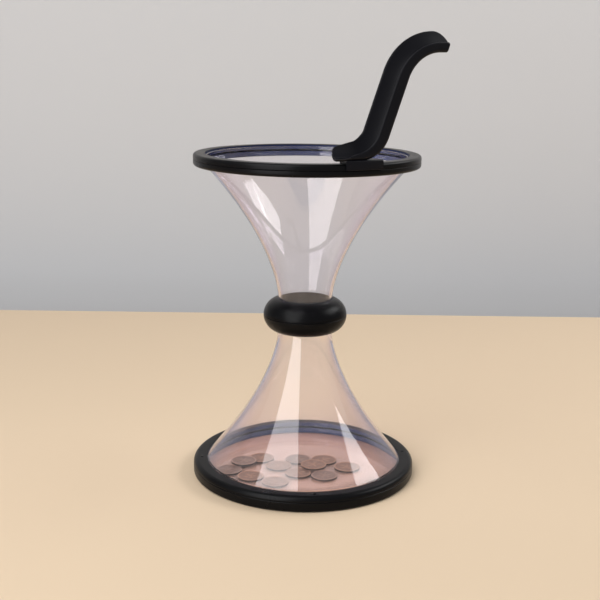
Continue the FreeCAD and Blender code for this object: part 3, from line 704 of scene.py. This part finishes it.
def collar_profile(collar, shell, is_lower):
    """Half of a hollow round ring, drawn up from the waist plane.

    Outside and inside are arcs about the section's centre. The upper half ends in a tongue,
    and the lower half in the socket that takes it.
    """
    centre = (collar.radius - collar.section, 0.0)
    inner = collar.section - collar.wall
    bore = shell.neck_radius + FIT
    web = bore + collar.wall
    seat = shell.neck_radius + shell.neck_flange_width + FIT
    ledge = shell.neck_flange_depth
    shelf = ledge + collar.wall
    shelf_edge = seat + collar.wall * 0.8
    face = collar.radius - collar.wall - FIT
    back = face - collar.tongue
    soft = 0.0004

    def at_radius(section, r):
        return math.degrees(math.acos((r - centre[0]) / section))

    outside = arc(centre, collar.section, at_radius(collar.section, bore),
                  math.degrees(math.asin(soft / collar.section)), 44)
    inside_end = at_radius(inner, web)
    if is_lower:
        socket = collar.lap + FIT
        lap = line((face + FIT, HAIR), (face + FIT, socket))
        start = math.degrees(math.asin(socket / inner))
    else:
        lap = line((face, HAIR), (face, -collar.lap), (back, -collar.lap))
        start = at_radius(inner, back)
    return np.vstack([
        line((bore, ledge)), outside, line((collar.radius - soft, HAIR)), lap,
        arc(centre, inner, start, inside_end, 20),
        line((web, shelf), (shelf_edge, shelf), (shelf_edge, HAIR), (seat, HAIR), (seat, ledge)),
    ])


class BANK_OT_collar(Operator):
    """Add the round waist collar in two halves"""
    bl_idname = "bank.collar"
    bl_label = "Waist collar"

    def execute(self, context):
        collar = bank().collar
        shell = bank().shell
        black = black_plastic("collar_plastic", collar.black, gloss=0.29, grain=0.08, shine=0.10)
        for name, node, is_lower in (("collar_upper_half", "waist_collar_upper", False),
                                     ("collar_lower_half", "waist_collar_lower", True)):
            profile = stood(collar_profile(collar, shell, is_lower), is_lower)
            surface = turned_ring(profile, 192)
            add_piece(name, mesh_of(name, surface), black, "collar_black", node)
        return {"FINISHED"}


def coin_surface(coin, petals, reeds, phase):
    """Coin about its own centre, top and bottom alike, with its relief from 0 to 1.

    Height over the field is the raised edge, plus beads at a fixed radius that follow a
    cosine of the angle, plus a flower whose petals follow a cosine of petals times the angle.
    """
    segments = 192
    field = coin.radius - coin.rim
    share_out = np.concatenate([np.linspace(0.08, 0.78, 13), np.linspace(0.81, 0.97, 8)])
    # The raised edge: its foot, the two ends of its level top, and a point of its rounding.
    edge = (field, field + 0.00012, coin.radius - 0.00025, coin.radius - 0.00007)
    r = np.concatenate([share_out * field, edge])
    a = np.linspace(0, 2 * math.pi, segments, endpoint=False)
    radius, angle = np.meshgrid(r, a, indexing="ij")
    bead_circle = 0.90 * field
    bead_width = 0.035 * field
    flower = 0.66 * field
    eye_radius = 0.14 * field
    bead_ring = np.exp(-((radius - bead_circle) / bead_width) ** 2)
    beads = bead_ring * np.clip(np.cos(coin.beads * angle), 0, 1)
    petal = np.clip(np.cos(petals * (angle + phase)), 0, 1) ** 0.6
    bloom = petal * np.sin(np.clip(radius / flower, 0, 1) * math.pi) ** 0.7
    eye = np.exp(-(radius / eye_radius) ** 4)
    relief = np.clip(0.75 * beads + 0.7 * bloom * (radius < flower) + 0.8 * eye, 0, 1)
    relief[radius >= field] = 1.0
    relief[r == field] = 0.0
    half = coin.thickness / 2
    edge_drop = 0.00005
    wall_end = half - 0.0002
    height = half - coin.relief * (1 - relief)
    height[-1] = half - edge_drop
    top = np.stack((radius * np.cos(angle), radius * np.sin(angle), height), axis=-1)
    reed = 0.00006
    cut = reed * np.clip(np.cos(reeds * a), -0.2, 1) if reeds else np.zeros(segments)
    wall_r = coin.radius - reed + cut
    wall_x = wall_r * np.cos(a)
    wall_y = wall_r * np.sin(a)
    wall = np.stack([np.stack((wall_x, wall_y, np.full(segments, z)), axis=-1)
                     for z in (wall_end, 0.0, -wall_end)])
    bottom = top[::-1].copy()
    bottom[..., 2] *= -1
    rings = np.concatenate([top, wall, bottom]).reshape(-1, 3)
    # Level of the metal's colour: the field half dark as patina and painted shade, the edge wall
    # fully dark as painted shade.
    face = 0.50 + 0.50 * relief
    painted_shade_wall = np.zeros(3 * segments)
    level = np.concatenate([face.ravel(), painted_shade_wall, face[::-1].ravel(), [0.8, 0.8]])
    rows = 2 * len(r) + 3
    centre_height = half - coin.relief * 0.2
    poles = np.array([(0, 0, centre_height), (0, 0, -centre_height)])
    j = np.arange(segments)
    onward = (j + 1) % segments
    base = (rows - 1) * segments
    first = np.column_stack((np.full(segments, len(rings)), onward, j))
    last = np.column_stack((np.full(segments, len(rings) + 1), base + j, base + onward))
    quads = grid_faces(rows, segments, False, True)
    return (np.vstack((rings, poles)), quads, np.vstack((first, last))), level


class BANK_OT_coins(Operator):
    """Add a struck coin on the place of each coin in the frame"""
    bl_idname = "bank.coins"
    bl_label = "Coins"

    def execute(self, context):
        coin = bank().coin
        bronze = struck_metal("coin_bronze_metal", coin.bronze, dull=0.36)
        nickel = struck_metal("coin_nickel_metal", coin.nickel, dull=0.33)
        names = sorted(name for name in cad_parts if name.startswith(("coin_0", "coin_1")))
        for number, node in enumerate(names):
            low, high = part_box(node)
            centre = np.array((low + high) / 2) + (0, 0, HAIR)
            is_nickel = number % 3 == 0
            petals = 6 if is_nickel else 5
            reeds = 64 if is_nickel else 0
            surface, level = coin_surface(coin, petals, reeds, phase=number * 1.37)
            points, quads, triangles = surface
            mesh = mesh_of(node + "_struck", (points + centre, quads, triangles))
            # The relief attribute carries that level: patina and painted shade in the hollows,
            # painted shade on the edge wall.
            mark = mesh.attributes.new("relief", "FLOAT", "POINT")
            mark.data.foreach_set("value", level.astype(np.float32))
            add_piece(node + "_struck", mesh, nickel if is_nickel else bronze,
                      "coin_nickel" if is_nickel else "coin_bronze", node)
        return {"FINISHED"}


def chute_stations(ramp):
    """Places, headings and distances along the chute's underside.

    It is a line, a bend, a line, a bend and a line. Each bend adds radius times the change
    of (sin, -cos) of the heading. The stations lie closer together near both ends, where
    the edges are rounded.
    """
    def stretch(place, heading, distance, steps):
        t = np.linspace(0, distance, steps + 1)[1:]
        way = np.array((math.cos(heading), math.sin(heading)))
        return place + t[:, None] * way, np.full(len(t), heading), t

    def bend(place, start, end, radius, steps):
        h = np.linspace(start, end, steps + 1)[1:]
        side = 1 if end > start else -1
        turned = np.column_stack((np.sin(h) - math.sin(start), math.cos(start) - np.cos(h)))
        return place + side * radius * turned, h, np.abs(h - start) * radius

    tip = 0.0012
    first = np.array((-ramp.foot_back, ramp.seat))
    t = np.linspace(0, 1, 7)[1:] ** 2 * tip
    runs = [(first[None], np.zeros(1), np.zeros(1)),
            (first + np.column_stack((t, 0 * t)), 0 * t, t)]
    for made in (lambda p: stretch(p, 0.0, ramp.foot_run - tip, 30),
                 lambda p: bend(p, 0.0, ramp.slope, ramp.lower_bend, 34),
                 lambda p: stretch(p, ramp.slope, ramp.climb, 16),
                 lambda p: bend(p, ramp.slope, ramp.top_slope, ramp.upper_bend, 36),
                 lambda p: stretch(p, ramp.top_slope, ramp.top_run - tip, 14),
                 lambda p: stretch(p, ramp.top_slope, tip, 8)):
        place, heading, distance = made(runs[-1][0][-1])
        runs.append((place, heading, distance + runs[-1][2][-1]))
    return tuple(np.concatenate([run[k] for run in runs]) for k in range(3))


def smoothstep(x, start, end):
    """From 0 at the start to 1 at the end, as 3 t squared less 2 t cubed."""
    t = np.clip((x - start) / (end - start), 0, 1)
    return t * t * (3 - 2 * t)


def chute_heights(ramp, distance):
    """Heights of the banked wall and of the outer rail at each distance along the chute.

    From the open end both rise along cubic curves, the wall out of a quarter circle. At the
    upper end the wall falls as a parabola, and the rail ends in a quarter ellipse. Smooth
    steps make the rail taller on the climb.
    """
    whole = distance[-1]
    foot_round = 0.0055
    least_wall = 0.0026
    wall_rise = bezier([(0.0050, ramp.foot_height), (0.014, ramp.foot_height + 0.0018),
                        (0.024, ramp.wall_height - 0.0002), (0.040, ramp.wall_height)], 40)
    foot = np.sqrt(1 - (1 - np.clip(distance / foot_round, 0.02, 1)) ** 2)
    wall = np.maximum(foot * np.interp(distance, wall_rise[:, 0], wall_rise[:, 1]), least_wall)
    fall_run = 0.0117
    fall = np.clip((distance - (whole - fall_run)) / fall_run, 0, 1)
    wall = wall - (ramp.wall_height - ramp.rail_height) * fall ** 2

    low_rail = 0.0022
    rail_rise = bezier([(0.004, low_rail), (0.011, low_rail), (0.013, 0.0056),
                        (0.030, ramp.rail_height)], 40)
    rail = np.interp(distance, rail_rise[:, 0], rail_rise[:, 1])
    climbing = smoothstep(distance, 0.020, 0.048) - smoothstep(distance, 0.085, 0.118)
    rail = rail + ramp.rail_swell * climbing
    end_run = 0.0022
    end_drop = 0.0016
    rail_end = np.clip((distance - (whole - end_run)) / end_run, 0, 1)
    rail = rail - end_drop * (1 - np.sqrt(1 - rail_end ** 2))
    return wall, rail


def chute_middle(ramp, wall_top, rail_top):
    """Middle line of the section at every station, across and up from the centre line.

    It runs down the outer rail, round a corner, across the floor and up the banked wall,
    which is two cubic curves end to end, as far as the wall's height at that station. Where
    the rail is lower than the corner, the corner is pressed down to it.
    """
    half = ramp.wall / 2
    rail_u = ramp.reach_out - half
    corner = 0.0016
    bank_start = 0.0022
    bank_middle = (-0.0042, 0.0062)
    lower_bank = bezier([(bank_start, half), (0.0004, half), (-0.0021, 0.0028), bank_middle], 14)
    upper_bank = bezier([bank_middle, (-0.0059, 0.0090), (-0.0074, 0.0124), (-0.0083, 0.0163)], 14)
    bank_line = np.vstack([lower_bank, upper_bank[1:]])
    way = np.concatenate([[0], np.cumsum(np.linalg.norm(np.diff(bank_line, axis=0), axis=1))])
    reach = np.interp(wall_top - half, bank_line[:, 1], way)
    along = reach[:, None] * np.linspace(0, 1, 22)
    wall = np.stack([np.interp(along, way, bank_line[:, k]) for k in range(2)], axis=-1)
    rail_start = np.maximum(rail_top - half, half + corner)
    t = np.linspace(0, 1, 6)
    rail_b = rail_start[:, None] * (1 - t) + (half + corner) * t
    rail = np.stack((np.full_like(rail_b, rail_u), rail_b), axis=-1)
    turn = arc((rail_u - corner, half + corner), corner, 0, -90, 7)[1:]
    turn = np.broadcast_to(turn, (len(wall_top), *turn.shape))
    floor_u = np.linspace(rail_u - corner, bank_start, 5)[1:-1]
    floor = np.stack(np.broadcast_arrays(floor_u, half), axis=-1)
    floor = np.broadcast_to(floor, (len(wall_top), *floor.shape))
    middle = np.concatenate([rail, turn, floor, wall], axis=1)
    low = np.clip((rail_top - half) / (half + corner), 0.0, 1.0)[:, None]
    pressed = half + (middle[..., 1] - half) * low
    middle[..., 1] = np.where(middle[..., 0] > rail_u - corner, pressed, middle[..., 1])
    return middle


def chute_surface(ramp):
    """A line of even thickness in the section, carried along the path of the chute.

    Half the thickness to each side of the middle line gives both faces, and half circles
    close the two upper edges. The thickness goes down in a quarter circle at both ends, and
    the upper end slants across the chute.
    """
    places, headings, distance = chute_stations(ramp)
    whole = distance[-1]
    half = ramp.wall / 2
    middle = chute_middle(ramp, *chute_heights(ramp, distance))
    tangent = np.gradient(middle, axis=1)
    tangent /= np.maximum(np.linalg.norm(tangent, axis=-1), 1e-9)[..., None]
    normal = np.stack((-tangent[..., 1], tangent[..., 0]), axis=-1)
    ends = np.minimum(distance, whole - distance)
    thick = (half * np.sqrt(1 - (1 - np.clip(ends / half, 0.12, 1)) ** 2))[:, None, None]
    inside = middle + normal * thick
    outside = middle - normal * thick
    turns = np.radians(np.linspace(0, 180, 9)[1:-1])

    def cap(row, sign):
        n = normal[:, row][:, None]
        s = tangent[:, row][:, None] * sign
        a = turns[None, :, None]
        return middle[:, row][:, None] + thick * (n * np.cos(a) * sign + s * np.sin(a))

    loop = np.concatenate([inside, cap(-1, 1), outside[:, ::-1], cap(0, -1)], axis=1)
    u, b = loop[..., 0], loop[..., 1]
    slant_run = 0.015
    slant_start = -0.0044
    undercut = 0.002
    undercut_top = 0.0055
    near_end = smoothstep(distance, whole - slant_run, whole)[:, None]
    slip = -near_end * ((u - slant_start) * math.tan(ramp.end_skew)
                        + undercut * np.clip(1 - b / undercut_top, 0, 1))
    sine = np.sin(headings)[:, None]
    cosine = np.cos(headings)[:, None]
    x = places[:, 0][:, None] - b * sine + slip * cosine
    z = places[:, 1][:, None] + b * cosine + slip * sine
    points = np.stack((x, -(ramp.track + u), z), axis=-1)

    count = points.shape[1]
    across = middle.shape[1]
    far_side = 2 * across + len(turns) - 1
    k = np.arange(across - 1)
    cover = np.column_stack((k, k + 1, far_side - k - 1, far_side - k))
    fans = []
    for start, stop in ((across - 1, across + len(turns)), (far_side, count)):
        edge = np.arange(start, stop + 1) % count
        fans.append(np.column_stack((np.full(len(edge) - 2, edge[0]), edge[1:-1], edge[2:])))
    fans = np.vstack(fans)
    base = (len(distance) - 1) * count
    sides = grid_faces(len(distance), count, False, True)
    quads = np.vstack([sides, cover[:, ::-1], cover + base])
    triangles = np.vstack([fans[:, ::-1], fans + base])
    return points.reshape(-1, 3), quads, triangles


def clip_surface(ramp, shell, ring):
    """The saddle's outline carried round the axis over its sweep, with both ends closed."""
    hook = shell.lip_radius - shell.wall - FIT
    face = ring.rim_radius + FIT
    corners = [(hook - ramp.skirt, -ramp.hook), (hook, -ramp.hook), (hook, 0.0), (face, 0.0),
               (face, -ramp.drop), (face + ramp.skirt, -ramp.drop),
               (face + ramp.skirt, ramp.plate), (hook - ramp.skirt, ramp.plate)]
    soft = 0.0004
    top_round = 0.0009
    loop = filleted(corners, [soft, soft, 0, 0, soft, soft, top_round, top_round], 5)
    steps = 40
    a = np.linspace(-ramp.behind, ramp.ahead, steps + 1) - math.pi / 2
    r = loop[:, 0][None]
    points = np.stack((r * np.cos(a)[:, None], r * np.sin(a)[:, None],
                       np.broadcast_to(loop[:, 1], (steps + 1, len(loop)))), axis=-1)
    quads = grid_faces(steps + 1, len(loop), False, True)
    ends = [list(range(len(loop)))[::-1], list(range(steps * len(loop), (steps + 1) * len(loop)))]
    return points.reshape(-1, 3), quads, ends


class BANK_OT_ramp(Operator):
    """Add the banked S-shaped chute with the clip that holds it on the ring"""
    bl_idname = "bank.ramp"
    bl_label = "Coin chute"

    def execute(self, context):
        ramp = bank().ramp
        shell = bank().shell
        ring = bank().ring
        black = black_plastic("chute_plastic", ramp.black, gloss=0.40, grain=0.06, shine=0.16)
        stand = Matrix.Translation((0, 0, RIM_TOP)) @ Matrix.Rotation(ramp.turned, 4, "Z")
        chute = mesh_of("ramp_chute", chute_surface(ramp))
        chute.transform(stand)
        points, quads, ends = clip_surface(ramp, shell, ring)
        saddle = bpy.data.meshes.new("ramp_clip")
        saddle.from_pydata(points.tolist(), [], quads.tolist() + ends)
        saddle.transform(stand)
        tool = bpy.data.objects.new("ramp_clip", saddle)
        context.scene.collection.objects.link(tool)
        whole = bpy.data.objects.new("ramp_whole", chute)
        context.scene.collection.objects.link(whole)
        union = whole.modifiers.new("union", "BOOLEAN")
        union.operation = "UNION"
        union.solver = "EXACT"
        union.object = tool
        depsgraph = context.evaluated_depsgraph_get()
        mesh = bpy.data.meshes.new_from_object(whole.evaluated_get(depsgraph))
        bpy.data.objects.remove(whole)
        bpy.data.objects.remove(tool)
        mesh.name = "coin_chute"
        mesh.shade_smooth()
        mesh.set_sharp_from_angle(angle=SMOOTH_EDGE)
        add_piece("coin_chute", mesh, black, "ramp_black", "coin_ramp")
        return {"FINISHED"}


# The set

# Place that the lamps face, and how far away they stand, in metres.
TARGET = (0, 0, 0.16)
WINDOW_DISTANCE = 1.6
LAMP_DISTANCE = 1.5


def around_target(turn, rise, distance):
    """Place at a direction from the front, a rise and a distance from the target."""
    level = distance * math.cos(rise)
    return (level * math.sin(turn), -level * math.cos(turn),
            TARGET[2] + distance * math.sin(rise))


def lamp(name, place, width, height, watts, lean):
    """A soft rectangular lamp that faces the target, leant about the line to it."""
    data = bpy.data.lights.new(name, "AREA")
    data.shape = "RECTANGLE"
    data.size = width
    data.size_y = height
    data.energy = watts
    made = bpy.data.objects.new(name, data)
    facing = (Vector(TARGET) - Vector(place)).to_track_quat("-Z", "Y").to_matrix().to_4x4()
    made.matrix_world = Matrix.Translation(place) @ facing @ Matrix.Rotation(lean, 4, "Z")
    bpy.context.scene.collection.objects.link(made)


def studio_air(sky, fill):
    """A world that gives even light, and is a plain colour to the camera, glass and gloss."""
    world = bpy.data.worlds.new("studio_air")
    world.use_nodes = True
    nodes = world.node_tree.nodes
    links = world.node_tree.links
    nodes.clear()
    output = nodes.new("ShaderNodeOutputWorld")
    seen = nodes.new("ShaderNodeBackground")
    seen.inputs["Color"].default_value = (*sky, 1)
    even = nodes.new("ShaderNodeBackground")
    even.inputs["Color"].default_value = (1, 1, 1, 1)
    even.inputs["Strength"].default_value = fill
    path = nodes.new("ShaderNodeLightPath")
    straight = path.outputs["Is Camera Ray"]
    for kind in ("Is Transmission Ray", "Is Glossy Ray"):
        larger = nodes.new("ShaderNodeMath")
        larger.operation = "MAXIMUM"
        links.new(straight, larger.inputs[0])
        links.new(path.outputs[kind], larger.inputs[1])
        straight = larger.outputs[0]
    mix = nodes.new("ShaderNodeMixShader")
    links.new(straight, mix.inputs[0])
    links.new(even.outputs[0], mix.inputs[1])
    links.new(seen.outputs[0], mix.inputs[2])
    links.new(mix.outputs[0], output.inputs[0])
    return world


class BANK_OT_stage(Operator):
    """Add the plain floor and wall, the soft lamps and the camera"""
    bl_idname = "bank.stage"
    bl_label = "Stage"

    def execute(self, context):
        studio = bank().studio
        self.add_floor(studio)
        self.light(context.scene, studio)
        self.add_camera(context.scene, studio)
        context.scene.view_settings.view_transform = "Standard"
        return {"FINISHED"}

    def add_floor(self, studio):
        """A plain floor with rounded near and far edges, and a wall that stands behind it."""
        edge = 0.004
        skirt = -0.04
        side = 4.0
        below = 0.0001
        front = -studio.floor_front
        depth = studio.floor_depth
        back = depth + studio.wall_gap
        top = np.vstack([
            line((front, skirt)),
            arc((front + edge, -edge), edge, 180, 90, 6),
            line((0.0, 0.0)),
            arc((depth - edge, -edge), edge, 90, 0, 6),
            line((depth, skirt)),
        ])
        outline = np.vstack([top, line((back, -1.0), (back, 1.0), (back, 3.0))])
        outline[:, 1] -= below
        x = np.linspace(-side, side, 9)[None]
        across = outline[:, :1]
        up = outline[:, 1:]
        points = np.stack(np.broadcast_arrays(x, across, up), axis=-1)
        faces = grid_faces(*points.shape[:2], False, False).reshape(len(outline) - 1, -1, 4)
        faces = np.delete(faces, len(top) - 1, axis=0).reshape(-1, 4)
        mesh = bpy.data.meshes.new("studio_floor")
        mesh.from_pydata(points.reshape(-1, 3).tolist(), [], faces.tolist())
        mesh.shade_smooth()
        mesh.materials.append(matt_colour("studio_floor", studio.floor))
        mesh.materials.append(matt_colour("studio_wall", studio.backdrop))
        is_wall = np.repeat(np.arange(len(outline) - 2) >= len(top) - 1, points.shape[1] - 1)
        mesh.polygons.foreach_set("material_index", is_wall.astype(np.int32))
        floor = bpy.data.objects.new("studio_floor", mesh)
        bpy.context.scene.collection.objects.link(floor)

    def light(self, scene, studio):
        """Even air, a tall window and two smaller lamps."""
        scene.world = studio_air(studio.sky, studio.fill)
        window = around_target(studio.window_turn, studio.window_rise, WINDOW_DISTANCE)
        lamp("window", window, studio.window_width, studio.window_height, studio.window,
             studio.window_lean)
        side = around_target(studio.side_turn, studio.side_rise, LAMP_DISTANCE)
        lamp("side_light", side, studio.side_width, studio.side_height, studio.side, 0.0)
        back = around_target(studio.back_turn, studio.back_rise, LAMP_DISTANCE)
        lamp("back_light", back, studio.back_width, studio.back_height, studio.back,
             studio.back_lean)

    def add_camera(self, scene, studio):
        """A camera that looks down by its pitch and is turned by its roll."""
        data = bpy.data.cameras.new("camera")
        data.sensor_width = 36.0
        data.lens = studio.camera_lens
        data.clip_start = 0.01
        data.clip_end = 20.0
        camera = bpy.data.objects.new("camera", data)
        camera.matrix_world = (Matrix.Translation(studio.camera_place)
                               @ Matrix.Rotation(math.pi / 2 - studio.camera_pitch, 4, "X")
                               @ Matrix.Rotation(studio.camera_roll, 4, "Z"))
        scene.collection.objects.link(camera)
        scene.camera = camera


class BANK_PT_sidebar(Panel):
    """Sizes and finishes of the coin bank, with a button for each piece"""
    bl_idname = "BANK_PT_sidebar"
    bl_label = "Vortex bank"
    bl_space_type = "VIEW_3D"
    bl_region_type = "UI"
    bl_category = "Vortex bank"

    def draw(self, context):
        settings = context.scene.vortex_bank
        for group in ("shell", "ring", "collar", "coin", "ramp", "studio"):
            box = self.layout.box()
            box.label(text=group.capitalize())
            values = getattr(settings, group)
            for key in values.__annotations__:
                box.prop(values, key)
        for operator in OPERATORS:
            self.layout.operator(operator.bl_idname)


OPERATORS = (BANK_OT_shells, BANK_OT_rings, BANK_OT_pins, BANK_OT_collar, BANK_OT_coins,
             BANK_OT_ramp, BANK_OT_stage)
CLASSES = (ShellSettings, RingSettings, CollarSettings, CoinSettings, RampSettings,
           StudioSettings, BankSettings, *OPERATORS, BANK_PT_sidebar)


def register():
    for made in CLASSES:
        bpy.utils.register_class(made)
    bpy.types.Scene.vortex_bank = PointerProperty(type=BankSettings)


def unregister():
    del bpy.types.Scene.vortex_bank
    for made in reversed(CLASSES):
        bpy.utils.unregister_class(made)


def main():
    register()
    bpy.ops.bank.shells()
    bpy.ops.bank.rings()
    bpy.ops.bank.pins()
    bpy.ops.bank.collar()
    bpy.ops.bank.coins()
    bpy.ops.bank.ramp()
    bpy.ops.bank.stage()


if __name__ == "__main__":
    main()
